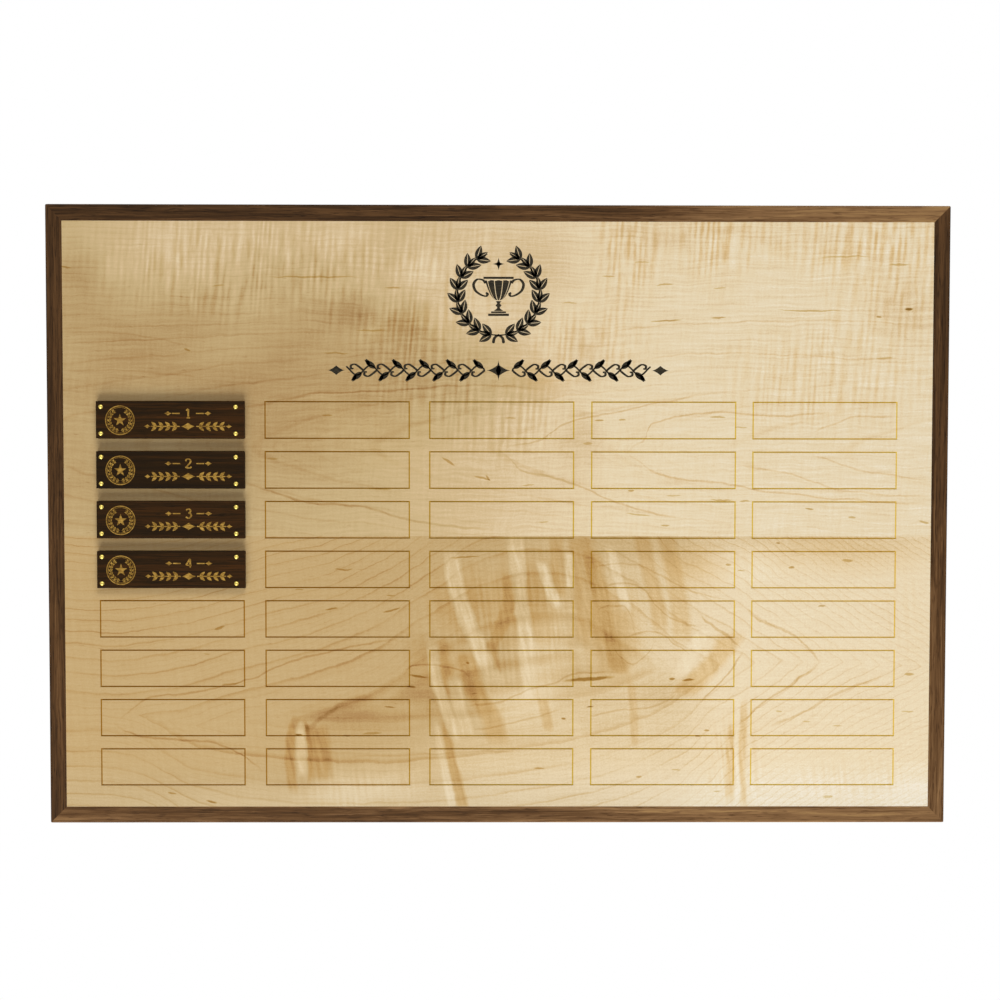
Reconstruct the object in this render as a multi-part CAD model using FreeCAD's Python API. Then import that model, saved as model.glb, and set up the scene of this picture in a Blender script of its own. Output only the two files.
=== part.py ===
# A perpetual plaque: a maple panel glued up from two boards, edged with walnut strips that are
# mitred at the corners, engraved with a grid of outlines, and fitted with the first four walnut
# name plates on brass pins. Two keyhole hangers in the back hold it on the wall.
#
# Millimetres. X runs along the plaque, Z is up, and the front faces -Y. The origin is midway
# between the entry holes of the two hangers, on the plane of the back.

import FreeCAD, Part
import math
import os

# The plaque as a whole
plaque_length = 609.6
plaque_height = 419.1
board_thickness = 19.05
strip_face = 11.2
joint_below_middle = 13.6

# The walnut strips: eased edges, rounded corners, and the tongue that is glued into the panel
front_easing = 1.2
back_easing = 0.8
corner_rounding = 1.5
tongue_thickness = 6.35
tongue_length = 6.0
tongue_side_clearance = 0.1
tongue_end_clearance = 0.5

# The biscuits in the glue joint between the two boards
biscuit_count = 4
biscuit_length = 56.0
biscuit_width = 23.0
biscuit_thickness = 4.0
biscuit_cutter_radius = 50.0
biscuit_side_clearance = 0.05
biscuit_end_clearance = 0.5

# The grid of engraved outlines, one for each name plate that the plaque can take: its margins to
# the panel's edges, and the gaps between its outlines
row_count = 8
grid_side_margin = 24.0
grid_head_margin = 121.2
grid_foot_margin = 14.9
row_gap = 9.0
column_gap = 13.2
column_gap_shares = (1.11, 1.05, 0.93, 0.9)
engraving_width = 0.9
engraving_depth = 0.4

# The name plates, which run a little past their outlines, and their pins
plate_count = 4
plate_end_overlap = 1.2
plate_side_overlap = 0.15
plate_thickness = 4.0
plate_easing = 0.3
pin_inset_left = 3.3
pin_inset_right = 5.8
pin_inset_top = 3.8
pin_inset_foot = 3.2
pin_diameter = 1.6
pin_head_diameter = 3.3
pin_head_height = 1.1
pin_length = 12.7
pin_point_length = 1.8
pin_clearance = 0.05

# The keyhole hangers, the pockets behind them for the heads of the wall screws, and their screws
hanger_inset = 101.6
hanger_drop = 63.5
hanger_width = 19.05
hanger_height = 50.8
hanger_thickness = 2.0
hanger_clearance = 0.2
entry_diameter = 9.5
slot_width = 4.8
slot_rise = 9.5
pocket_width = 11.0
pocket_depth = 10.0
screw_length = 12.7
screw_diameter = 3.5
screw_head_diameter = 6.6
screw_point_length = 4.0
screw_clearance = 0.05
countersink_half_angle = 41.0
drive_span = 3.4
drive_width = 0.8
drive_depth = 1.2

# The bumpers that keep the back off the wall
bumper_diameter = 12.7
bumper_height = 3.0
bumper_rounding = 1.0
bumper_inset = 25.4

# How far a cutting shape runs past the face that it cuts
overrun = 1.0

# Places that follow from the sizes above
front = -board_thickness
top = hanger_drop
foot = hanger_drop - plaque_height
middle = (top + foot) / 2
joint = middle - joint_below_middle
panel_length = plaque_length - 2 * strip_face
panel_top = top - strip_face
panel_foot = foot + strip_face
column_count = len(column_gap_shares) + 1
grid_length = panel_length - 2 * grid_side_margin
grid_height = panel_top - panel_foot - grid_head_margin - grid_foot_margin
outline_length = (grid_length - column_gap * sum(column_gap_shares)) / column_count
outline_height = (grid_height - row_gap * (row_count - 1)) / row_count
row_pitch = outline_height + row_gap
plate_length = outline_length + 2 * plate_end_overlap
plate_height = outline_height + 2 * plate_side_overlap
plate_front = front - plate_thickness
tongue_back = (front + tongue_thickness) / 2
tongue_front = (front - tongue_thickness) / 2

to_back = FreeCAD.Vector(0, 1, 0)
to_right = FreeCAD.Vector(1, 0, 0)


def block(x_low, x_high, y_low, y_high, z_low, z_high):
    """A box between two corners."""
    corner = FreeCAD.Vector(x_low, y_low, z_low)
    return Part.makeBox(x_high - x_low, y_high - y_low, z_high - z_low, corner)


def rod(radius, x, z, y_low, y_high):
    """A round bar along Y."""
    return Part.makeCylinder(radius, y_high - y_low, FreeCAD.Vector(x, y_low, z), to_back)


def line(start, end):
    return Part.LineSegment(start, end).toShape()


def arc(start, through, end):
    return Part.Arc(start, through, end).toShape()


def outline_of(points):
    """A closed outline of straight edges."""
    return [line(a, b) for a, b in zip(points, points[1:] + points[:1])]


def extruded(edges, path):
    """A solid from a closed flat outline, carried along a path."""
    return Part.Face(Part.Wire(edges)).extrude(path)


def turned(edges, x, y, z, facing_back=False):
    """A solid turned about Y from a half profile, which points into the plaque from its front
    unless facing_back is set."""
    solid = Part.Face(Part.Wire(edges)).revolve(FreeCAD.Vector(0, 0, 0), to_back, 360)
    if facing_back:
        solid.rotate(FreeCAD.Vector(0, 0, 0), FreeCAD.Vector(0, 0, 1), 180)
    solid.translate(FreeCAD.Vector(x, y, z))
    return solid


def long_hole(width, x, z_low, z_high, y_low, y_high):
    """An upright slot with round ends, from one end's centre to the other's."""
    half = width / 2
    low_left = FreeCAD.Vector(x - half, y_low, z_low)
    low_right = FreeCAD.Vector(x + half, y_low, z_low)
    high_right = FreeCAD.Vector(x + half, y_low, z_high)
    high_left = FreeCAD.Vector(x - half, y_low, z_high)
    edges = [
        arc(low_left, FreeCAD.Vector(x, y_low, z_low - half), low_right),
        line(low_right, high_right),
        arc(high_right, FreeCAD.Vector(x, y_low, z_high + half), high_left),
        line(high_left, low_left),
    ]
    return extruded(edges, to_back * (y_high - y_low))


def outline_centre(column, row):
    """Where an engraved outline has its centre, counted from the top left."""
    gaps = column_gap * sum(column_gap_shares[:column])
    x = (outline_length - grid_length) / 2 + column * outline_length + gaps
    z = panel_foot + grid_foot_margin + outline_height / 2 + (row_count - 1 - row) * row_pitch
    return x, z


def engraved_outline(column, row):
    """The shallow groove of one outline, as a cutting shape."""
    x, z = outline_centre(column, row)
    half_length = outline_length / 2
    half_height = outline_height / 2
    half_line = engraving_width / 2
    depth = front + engraving_depth
    outside = block(
        x - half_length - half_line, x + half_length + half_line, front - overrun, depth,
        z - half_height - half_line, z + half_height + half_line,
    )
    inside = block(
        x - half_length + half_line, x + half_length - half_line, front - 2 * overrun, depth + overrun,
        z - half_height + half_line, z + half_height - half_line,
    )
    return outside.cut(inside)


def pin_places(row):
    """The four pins of the name plate in that row."""
    x, z = outline_centre(0, row)
    left = x - plate_length / 2 + pin_inset_left
    right = x + plate_length / 2 - pin_inset_right
    high = z + plate_height / 2 - pin_inset_top
    low = z - plate_height / 2 + pin_inset_foot
    return [(left, high), (right, high), (left, low), (right, low)]


def pin_shank(clearance, x, z):
    """The pointed shank of a pin from under its head, or the hole for it."""
    radius = pin_diameter / 2 + clearance
    length = pin_length + clearance
    profile = [
        FreeCAD.Vector(0, 0, 0),
        FreeCAD.Vector(radius, 0, 0),
        FreeCAD.Vector(radius, length - pin_point_length, 0),
        FreeCAD.Vector(0, length, 0),
    ]
    return turned(outline_of(profile), x, plate_front, z)


def brass_pin(x, z):
    """An escutcheon pin: a domed head on a pointed shank."""
    radius = pin_head_diameter / 2
    dome_radius = (radius ** 2 + pin_head_height ** 2) / (2 * pin_head_height)
    dome_centre = dome_radius - pin_head_height
    half_angle = math.atan2(radius, dome_centre) / 2
    crown = FreeCAD.Vector(0, -pin_head_height, 0)
    shoulder = FreeCAD.Vector(
        dome_radius * math.sin(half_angle), dome_centre - dome_radius * math.cos(half_angle), 0
    )
    rim = FreeCAD.Vector(radius, 0, 0)
    seat = FreeCAD.Vector(0, 0, 0)
    head = turned([arc(crown, shoulder, rim), line(rim, seat), line(seat, crown)], x, plate_front, z)
    return head.fuse(pin_shank(0, x, z)).removeSplitter()


def name_plate(row):
    """A walnut plate with eased front edges and a hole for each pin."""
    x, z = outline_centre(0, row)
    plate = block(
        x - plate_length / 2, x + plate_length / 2, plate_front, front,
        z - plate_height / 2, z + plate_height / 2,
    )
    front_edges = [edge for edge in plate.Edges if edge.BoundBox.YMax < plate_front + plate_easing]
    plate = plate.makeFillet(plate_easing, front_edges)
    return plate.cut([pin_shank(pin_clearance, *place) for place in pin_places(row)])


def edge_strip(length):
    """A walnut strip along X with its outer face up at Z 0, mitred at both ends."""
    inner = -strip_face
    tongue_end = -strip_face - tongue_length
    bend = math.sqrt(0.5)
    top_front = FreeCAD.Vector(0, front + front_easing, 0)
    top_back = FreeCAD.Vector(0, -back_easing, 0)
    back_top = FreeCAD.Vector(0, 0, -back_easing)
    front_top = FreeCAD.Vector(0, front, -front_easing)
    back_bend = FreeCAD.Vector(0, (bend - 1) * back_easing, (bend - 1) * back_easing)
    front_bend = FreeCAD.Vector(0, front + (1 - bend) * front_easing, (bend - 1) * front_easing)
    across = [
        back_top,
        FreeCAD.Vector(0, 0, inner),
        FreeCAD.Vector(0, tongue_back, inner),
        FreeCAD.Vector(0, tongue_back, tongue_end),
        FreeCAD.Vector(0, tongue_front, tongue_end),
        FreeCAD.Vector(0, tongue_front, inner),
        FreeCAD.Vector(0, front, inner),
        front_top,
    ]
    edges = [line(top_front, top_back), arc(top_back, back_bend, back_top)]
    edges += [line(a, b) for a, b in zip(across, across[1:])]
    edges += [arc(front_top, front_bend, top_front)]
    strip = extruded(edges, to_right * length)
    strip.translate(to_right * (-length / 2))
    mitre = strip_face + tongue_length + overrun
    ends = [
        FreeCAD.Vector(-length / 2, front - overrun, 0),
        FreeCAD.Vector(length / 2, front - overrun, 0),
        FreeCAD.Vector(length / 2 - mitre, front - overrun, -mitre),
        FreeCAD.Vector(mitre - length / 2, front - overrun, -mitre),
    ]
    return strip.common(extruded(outline_of(ends), to_back * (board_thickness + 2 * overrun)))


def placed_strip(length, turn, x, z):
    """A strip turned about Y to its side of the plaque, with the plaque's corners rounded."""
    strip = edge_strip(length)
    strip.rotate(FreeCAD.Vector(0, 0, 0), to_back, turn)
    strip.translate(FreeCAD.Vector(x, 0, z))
    blank = block(-plaque_length / 2, plaque_length / 2, front - overrun, overrun, foot, top)
    corners = [edge for edge in blank.Edges if edge.BoundBox.YLength > board_thickness]
    return strip.common(blank.makeFillet(corner_rounding, corners))


def tongue_groove():
    """The groove round the panel's edge that takes the strips' tongues, as a cutting shape."""
    depth = tongue_length + tongue_end_clearance
    low = tongue_front - tongue_side_clearance
    high = tongue_back + tongue_side_clearance
    half = panel_length / 2
    outside = block(
        -half - overrun, half + overrun, low, high, panel_foot - overrun, panel_top + overrun
    )
    inside = block(
        -half + depth, half - depth, low - overrun, high + overrun, panel_foot + depth, panel_top - depth
    )
    return outside.cut(inside)


def biscuit_places():
    """Where the biscuits stand along the joint."""
    pitch = panel_length / biscuit_count
    return [(step - (biscuit_count - 1) / 2) * pitch for step in range(biscuit_count)]


def biscuit_blank(x, side_clearance, end_clearance):
    """Two overlapping discs, cut square at the ends: a biscuit, or the slots that it fits."""
    reach = biscuit_width / 2 + end_clearance
    half_length = biscuit_length / 2 + end_clearance
    low = (front - biscuit_thickness) / 2 - side_clearance
    high = (front + biscuit_thickness) / 2 + side_clearance
    upper = rod(biscuit_cutter_radius, x, joint + biscuit_cutter_radius - reach, low, high)
    lower = rod(biscuit_cutter_radius, x, joint - biscuit_cutter_radius + reach, low, high)
    ends = block(x - half_length, x + half_length, low, high, joint - reach, joint + reach)
    return upper.common(lower).common(ends)


def screw_solid(x, z, clearance):
    """A countersunk wood screw from the back, or the hole for it."""
    radius = screw_diameter / 2 + clearance
    head_radius = screw_head_diameter / 2 + clearance
    head_depth = (head_radius - radius) / math.tan(math.radians(countersink_half_angle))
    length = screw_length + clearance
    profile = [
        FreeCAD.Vector(0, 0, 0),
        FreeCAD.Vector(head_radius, 0, 0),
        FreeCAD.Vector(radius, head_depth, 0),
        FreeCAD.Vector(radius, length - screw_point_length, 0),
        FreeCAD.Vector(0, length, 0),
    ]
    return turned(outline_of(profile), x, 0, z, facing_back=True)


def hanger_screw(x, z):
    """A wood screw with a cross recess in its head."""
    half_span = drive_span / 2
    half_width = drive_width / 2
    flat = block(x - half_span, x + half_span, -drive_depth, overrun, z - half_width, z + half_width)
    upright = block(x - half_width, x + half_width, -drive_depth, overrun, z - half_span, z + half_span)
    return screw_solid(x, z, 0).cut([flat, upright])


def hanger_centre():
    """The height of a hanger's centre, which is the middle of its keyhole."""
    return (slot_rise + slot_width / 2 - entry_diameter / 2) / 2


def hanger_end_centres():
    """The heights of the hanger's round ends, where its screws go."""
    reach = (hanger_height - hanger_width) / 2
    return [hanger_centre() - reach, hanger_centre() + reach]


def keyhole_hanger(x):
    """A steel plate with round ends, a keyhole, and a countersunk hole at each end."""
    plate = long_hole(hanger_width, x, *hanger_end_centres(), -hanger_thickness, 0)
    entry = rod(entry_diameter / 2, x, 0, -hanger_thickness - overrun, overrun)
    slot = long_hole(slot_width, x, 0, slot_rise, -hanger_thickness - overrun, overrun)
    screws = [screw_solid(x, z, screw_clearance) for z in hanger_end_centres()]
    return plate.cut([entry.fuse(slot)] + screws)


def hanger_recess(x):
    """What is routed out of the back for one hanger, and drilled for its screws."""
    width = hanger_width + 2 * hanger_clearance
    recess = long_hole(width, x, *hanger_end_centres(), -hanger_thickness, overrun)
    pocket = long_hole(pocket_width, x, 0, slot_rise, -pocket_depth, 0)
    screws = [screw_solid(x, z, screw_clearance) for z in hanger_end_centres()]
    return [recess, pocket] + screws


def maple_board(z_low, z_high, cuts):
    """One board of the panel, with everything that is cut out of it."""
    board = block(-panel_length / 2, panel_length / 2, front, 0, z_low, z_high)
    return board.cut(cuts)


def wall_bumper(x, z):
    """A round rubber foot stuck to the back, with a rounded rim."""
    bumper = rod(bumper_diameter / 2, x, z, 0, bumper_height)
    rim = [edge for edge in bumper.Edges if edge.BoundBox.YMin > bumper_height / 2]
    return bumper.makeFillet(bumper_rounding, rim)


outlines = [engraved_outline(c, r) for c in range(column_count) for r in range(row_count)]
pin_holes = [pin_shank(pin_clearance, *place) for row in range(plate_count) for place in pin_places(row)]
biscuit_slots = [
    biscuit_blank(x, biscuit_side_clearance, biscuit_end_clearance) for x in biscuit_places()
]
hanger_x = plaque_length / 2 - hanger_inset
hanger_sides = {"left": -hanger_x, "right": hanger_x}
shared_cuts = outlines + pin_holes + biscuit_slots + [tongue_groove()]
hanger_cuts = [cut for x in hanger_sides.values() for cut in hanger_recess(x)]
bumper_x = plaque_length / 2 - bumper_inset
bumper_heights = (foot + bumper_inset, top - bumper_inset)

pieces = {
    "maple_board_upper": maple_board(joint, panel_top, shared_cuts + hanger_cuts),
    "maple_board_lower": maple_board(panel_foot, joint, shared_cuts),
    "edge_strip_top": placed_strip(plaque_length, 0, 0, top),
    "edge_strip_bottom": placed_strip(plaque_length, 180, 0, foot),
    "edge_strip_left": placed_strip(plaque_height, -90, -plaque_length / 2, middle),
    "edge_strip_right": placed_strip(plaque_height, 90, plaque_length / 2, middle),
    "board_biscuits": Part.makeCompound([biscuit_blank(x, 0, 0) for x in biscuit_places()]),
    "wall_bumpers": Part.makeCompound(
        [wall_bumper(x, z) for x in (-bumper_x, bumper_x) for z in bumper_heights]
    ),
}
for row in range(plate_count):
    pieces[f"name_plate_{row + 1}"] = name_plate(row)
    pieces[f"plate_pins_{row + 1}"] = Part.makeCompound([brass_pin(*p) for p in pin_places(row)])
for side, x in hanger_sides.items():
    pieces[f"keyhole_hanger_{side}"] = keyhole_hanger(x)
    screws = [hanger_screw(x, z) for z in hanger_end_centres()]
    pieces[f"hanger_screws_{side}"] = Part.makeCompound(screws)

os.makedirs("parts", exist_ok=True)
for name, shape in pieces.items():
    shape.exportStep(f"parts/{name}.step")
    print(name, len(shape.Solids), "solids", round(shape.Volume, 1), "mm3", shape.isValid())
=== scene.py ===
import math

import bmesh
import bpy
import numpy as np
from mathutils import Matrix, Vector


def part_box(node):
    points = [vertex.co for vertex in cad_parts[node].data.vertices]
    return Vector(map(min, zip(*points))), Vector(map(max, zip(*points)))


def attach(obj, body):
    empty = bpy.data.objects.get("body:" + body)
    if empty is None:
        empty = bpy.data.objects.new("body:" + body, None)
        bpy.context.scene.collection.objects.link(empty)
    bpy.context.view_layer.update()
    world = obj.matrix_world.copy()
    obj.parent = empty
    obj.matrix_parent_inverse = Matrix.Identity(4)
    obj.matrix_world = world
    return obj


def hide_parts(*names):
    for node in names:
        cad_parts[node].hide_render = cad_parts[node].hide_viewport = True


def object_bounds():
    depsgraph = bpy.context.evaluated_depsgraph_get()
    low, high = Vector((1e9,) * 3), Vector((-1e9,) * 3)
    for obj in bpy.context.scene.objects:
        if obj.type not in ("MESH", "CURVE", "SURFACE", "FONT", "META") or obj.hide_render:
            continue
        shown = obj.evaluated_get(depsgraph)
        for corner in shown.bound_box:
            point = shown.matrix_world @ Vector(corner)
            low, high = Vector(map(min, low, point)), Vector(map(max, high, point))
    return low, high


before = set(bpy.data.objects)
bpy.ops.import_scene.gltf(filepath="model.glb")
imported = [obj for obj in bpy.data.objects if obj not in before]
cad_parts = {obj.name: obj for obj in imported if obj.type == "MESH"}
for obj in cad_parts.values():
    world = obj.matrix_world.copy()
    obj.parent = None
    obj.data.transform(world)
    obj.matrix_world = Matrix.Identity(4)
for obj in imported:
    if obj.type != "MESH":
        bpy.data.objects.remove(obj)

cad_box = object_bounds()

# Studio
# The plaque hangs flat on its wall plane and is seen from straight in front, a little above its middle.
# A wide soft box low in front throws each plate's shadow upwards. Others fill in and light the floor.
mm = 0.001
camera_place = Vector((-6.6, -1102.8, -93.0)) * mm
camera_down_tilt = 2.229
camera_left_turn = -0.402
camera_roll = -0.07
camera_lens = 57.66
camera_sensor = 36.0
plaque_middle = (cad_box[0] + cad_box[1]) / 2
sky_light = 0.24
sky_tint = "fff1ef"
backdrop_white = 1.0
floor_drop = 2.25
floor_size = (6.0, 5.0)
floor_back_edge = 2.2
floor_steps = 13
floor_dull = "ecebe8"
floor_pale = "f2f1ee"
# each soft box: its middle, the point that it faces, its width and height in metres, and its power in watts
soft_boxes = {
    "low_front_box": ((-0.35, -1.1, -2.1), plaque_middle, (2.0, 1.2), 59.0),
    "high_front_box": ((0.25, -1.3, 1.5), plaque_middle, (1.4, 0.8), 21.0),
    "wall_side_box": ((0.6, 1.9, 0.9), plaque_middle, (1.6, 1.2), 24.0),
    "floor_box": ((0.0, 0.0, -1.1), (0.0, 0.001, -2.4), (5.0, 4.0), 45.0),
}


def colour(hex_code):
    """An sRGB hex value as linear red, green, blue and full alpha."""
    parts = [int(hex_code[i:i + 2], 16) / 255 for i in (0, 2, 4)]
    return tuple(p / 12.92 if p <= 0.04045 else ((p + 0.055) / 1.055) ** 2.4 for p in parts) + (1.0,)


def add(tree, kind, sockets=None, out=0, stops=None, **settings):
    """Adds one node with its settings, socket values and links, and returns one of its outputs.

    A socket gets a value or another node's output. A ramp's stops are pairs of place and colour, which is
    sRGB hex or linear.
    """
    node = tree.nodes.new("ShaderNode" + kind)
    for name, value in settings.items():
        setattr(node, name, value)
    for socket, value in (sockets or {}).items():
        if isinstance(value, bpy.types.NodeSocket):
            tree.links.new(value, node.inputs[socket])
        else:
            node.inputs[socket].default_value = value
    if stops:
        elements = node.color_ramp.elements
        for _ in stops[2:]:
            elements.new(0.5)
        for element, (place, shade) in zip(elements, stops):
            element.position = place
            element.color = colour(shade) if isinstance(shade, str) else shade
    return node.outputs[out] if node.outputs else node


scene = bpy.context.scene
scene.view_settings.view_transform = "Standard"

camera_data = bpy.data.cameras.new("camera")
camera_data.sensor_fit = "HORIZONTAL"
camera_data.sensor_width = camera_sensor
camera_data.lens = camera_lens
camera = bpy.data.objects.new("camera", camera_data)
camera.location = camera_place
camera_turns = (90 - camera_down_tilt, camera_roll, camera_left_turn)
camera.rotation_euler = [math.radians(turn) for turn in camera_turns]
scene.collection.objects.link(camera)
scene.camera = camera

world = bpy.data.worlds.new("studio")
scene.world = world
world.use_nodes = True
sky_tree = world.node_tree
sky_tree.nodes.clear()
rays = add(sky_tree, "LightPath").node.outputs
seen = rays["Is Camera Ray"]
for kind in ("Is Glossy Ray", "Is Transmission Ray"):
    seen = add(sky_tree, "Math", {0: seen, 1: rays[kind]}, operation="MAXIMUM")
fill_light = add(sky_tree, "Background", {"Color": colour(sky_tint), "Strength": sky_light})
backdrop = add(sky_tree, "Background", {"Color": (1, 1, 1, 1), "Strength": backdrop_white})
sky = add(sky_tree, "MixShader", {0: seen, 1: fill_light, 2: backdrop})
add(sky_tree, "OutputWorld", {"Surface": sky})

for box_name, (place, facing, size, power) in soft_boxes.items():
    light = bpy.data.lights.new(box_name, "AREA")
    light.shape = "RECTANGLE"
    light.size, light.size_y = size
    light.energy = power
    lamp = bpy.data.objects.new(box_name, light)
    lamp.location = place
    lamp.rotation_euler = (Vector(facing) - Vector(place)).to_track_quat("-Z", "Y").to_euler()
    lamp.visible_camera = False
    scene.collection.objects.link(lamp)


def sheet_mesh(name, points):
    """A mesh from a grid of points, given as an array of rows, columns and xyz, with one face per cell."""
    rows, columns = points.shape[:2]
    number = np.arange(rows * columns).reshape(rows, columns)
    faces = np.stack([number[:-1, :-1], number[:-1, 1:], number[1:, 1:], number[1:, :-1]], -1)
    mesh = bpy.data.meshes.new(name)
    mesh.from_pydata(points.reshape(-1, 3), [], faces.reshape(-1, 4))
    return mesh


def place_piece(mesh, material, body="root"):
    """Puts a finished mesh into the scene under its own name, riding on a body unless it is the stage."""
    mesh.materials.append(material)
    piece = bpy.data.objects.new(mesh.name, mesh)
    scene.collection.objects.link(piece)
    if body:
        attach(piece, body)
    return piece


def new_material(name):
    """An empty node material, named for what the real surface is."""
    material = bpy.data.materials.new(name)
    material.use_nodes = True
    material.node_tree.nodes.clear()
    return material, material.node_tree


def surfaced(material, face, roughness, relief=None, specular=0.5, metallic=0.0):
    """Ends a material in one surface. A relief is its height, its strength and its depth in mm."""
    tree = material.node_tree
    skin = {"Base Color": face, "Roughness": roughness, "Specular IOR Level": specular, "Metallic": metallic}
    if relief:
        height, strength, depth = relief
        skin["Normal"] = add(tree, "Bump", {"Height": height, "Strength": strength, "Distance": depth * mm})
    add(tree, "OutputMaterial", {"Surface": add(tree, "BsdfPrincipled", skin)})
    return material


def painted_floor():
    """Matt studio paint: pale, with a faint mottle that keeps it from looking like one flat colour."""
    material, tree = new_material("matt_studio_paint")
    place = add(tree, "TexCoord", out="Object")
    mottle = add(tree, "TexNoise", {"Vector": place, "Scale": 3.0, "Detail": 4.0})
    shade = add(tree, "ValToRGB", {"Fac": mottle}, stops=[(0.3, floor_dull), (0.7, floor_pale)])
    return surfaced(material, shade, 0.9, specular=0.1)


across, deep = np.meshgrid(np.linspace(-0.5, 0.5, floor_steps), np.linspace(0, 1, floor_steps))
floor_points = np.stack([
    across * floor_size[0],
    floor_back_edge - (1 - deep) * floor_size[1],
    np.full(across.shape, plaque_middle.z - floor_drop),
], -1)
place_piece(sheet_mesh("studio_floor", floor_points), painted_floor(), body=None)

# Maple boards
# The panel is two figured maple boards, glued along a joint just below its middle, sanded and lacquered.
# Each shows its own growth rings, bars of curl and mineral streaks, and the outlines are cut into both.
# The sheen that makes the curl and flames shimmer is painted into the colour.
# The marks are placed in mm from the plaque's middle: x to the right and z up.
board_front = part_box("maple_board_upper")[0].y / mm
upper_tones = [
    (0.00, "8c693d"), (0.12, "a58454"), (0.25, "b79c6c"), (0.37, "c4ad7e"), (0.50, "cfb78b"),
    (0.62, "dac59e"), (0.72, "e1d0ab"), (0.85, "e6d9ba"), (1.00, "f0e8d4"),
]
lower_tones = [
    (0.00, "86632f"), (0.12, "a68251"), (0.25, "b99b67"), (0.37, "c3a979"), (0.50, "d0b88b"),
    (0.62, "dac69e"), (0.72, "e2d0ac"), (0.85, "e8dab9"), (1.00, "f1e8d2"),
]
bar_spacing = 5.0
# what a mineral streak lets through of the wood's colour, from its faint rim to its darkest middle
stain_tones = [
    (0.00, "ffffff"), (0.35, "ece2c4"), (0.75, "ddcaa0"), (0.92, "c4a86c"), (1.00, "a0864b"),
]
stain_depth = 1.3
# what the scorched cuts let through, from the darker left end of the plaque to the pale right end
scorch_tones = [
    (0.00, "cfad38"), (0.20, "d8b848"), (0.45, "e9d95a"), (0.70, "efdd5e"), (1.00, "fae97c"),
]
# where along the plaque the first and last of them lie, and the depths over which a scorch sets in
scorch_ends = (-200.0, 250.0)
scorch_depths = (0.04, 0.10)
deepest_cut = 3.0
flame_tint = "fcf1db"
flame_lean = -14.0
# the foot of the panel is a little paler and cooler: a painted sheen of light from below
foot_sheen_reach = (-165.0, -200.0)
foot_sheen_lift = 0.055
foot_sheen_tint = "f6f9ff"
# a growth ring's darkness from its early wood to its late wood
ring_profile = [(0.00, 0.15), (0.05, 0.0), (0.60, 0.0), (0.86, 0.20), (0.94, 1.0), (1.00, 0.45)]
band_full_share = 0.75


def plaque_point(tree):
    """The point's place in mm from the plaque's middle."""
    place = add(tree, "TexCoord", out="Object")
    middle = tuple(-part / mm for part in plaque_middle)
    return add(tree, "Mapping", {"Vector": place, "Location": middle, "Scale": (1 / mm,) * 3})


def hand_line(tree, along, points):
    """A smooth line through given points, each (place, value), as the value at a place."""
    places, values = zip(*points)
    low, high = min(values), max(values)
    share = add(tree, "MapRange", {0: along, 1: places[0], 2: places[-1]})
    line = add(tree, "FloatCurve", {"Value": share})
    knots = line.node.mapping.curves[0].points
    for _ in points[2:]:
        knots.new(0.5, 0.5)
    for knot, (at, value) in zip(knots, points):
        knot.location = ((at - places[0]) / (places[-1] - places[0]), (value - low) / (high - low))
    line.node.mapping.update()
    return add(tree, "MapRange", {0: line, 3: low, 4: high})


def soft_noise(tree, place, sizes, detail, levels=None, roughness=0.5, seed=0):
    """Noise in soft blobs of the given sizes in mm.

    Levels are the two values of the noise between which it counts, and what it then gives at each of them.
    """
    scale = [1 / size for size in sizes]
    local = add(tree, "Mapping", {"Vector": place, "Location": (seed, seed, 0), "Scale": scale})
    noise = add(tree, "TexNoise", {"Vector": local, "Scale": 1.0, "Detail": detail, "Roughness": roughness})
    return add(tree, "MapRange", {0: noise, **dict(enumerate(levels, 1))}) if levels else noise


def marks(tree, flat, places, firmness, start=0.0):
    """The sum of listed marks, each (x, z, half length, half height, change of tone).

    A sixth number is a turn in degrees. A mark is an ellipse whose change falls evenly from its middle to
    none at its rim, times firmness, up to the whole.
    """
    total = start
    for x, z, half_length, half_height, change, *turn in places:
        local = add(tree, "Mapping", {
            "Vector": flat, "Location": (x, z, 0), "Rotation": (0, 0, math.radians(turn[0] if turn else 0)),
            "Scale": (half_length, half_height, 1),
        }, vector_type="TEXTURE")
        fade = add(tree, "TexGradient", {"Vector": local}, out="Fac", gradient_type="SPHERICAL")
        fade = add(tree, "Math", {0: fade, 1: firmness}, operation="MULTIPLY", use_clamp=True)
        total = add(tree, "Math", {0: fade, 1: change, 2: total}, operation="MULTIPLY_ADD")
    return total


def drawn_lines(tree, along, across, lines, core_share, total=0.0):
    """The sum of drawn lines and bands, each (change of tone, half width, points along and across).

    The change holds over a band's core and is gone at its rim, and both ends of the band fade out.
    """
    for change, half_width, points in lines:
        first, last = points[0][0], points[-1][0]
        gap = add(tree, "Math", {0: across, 1: hand_line(tree, along, points)}, operation="SUBTRACT")
        gap = add(tree, "Math", {0: gap}, operation="ABSOLUTE")
        band = add(tree, "MapRange", {0: gap, 1: core_share * half_width, 2: half_width, 3: change, 4: 0.0})
        half = (last - first) / 2
        reach = add(tree, "Math", {0: along, 1: first + half}, operation="SUBTRACT")
        reach = add(tree, "Math", {0: reach}, operation="ABSOLUTE")
        reach = add(tree, "MapRange", {0: reach, 1: band_full_share * half, 2: half, 3: 1.0, 4: 0.0})
        total = add(tree, "Math", {0: band, 1: reach, 2: total}, operation="MULTIPLY_ADD")
    return total


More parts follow.
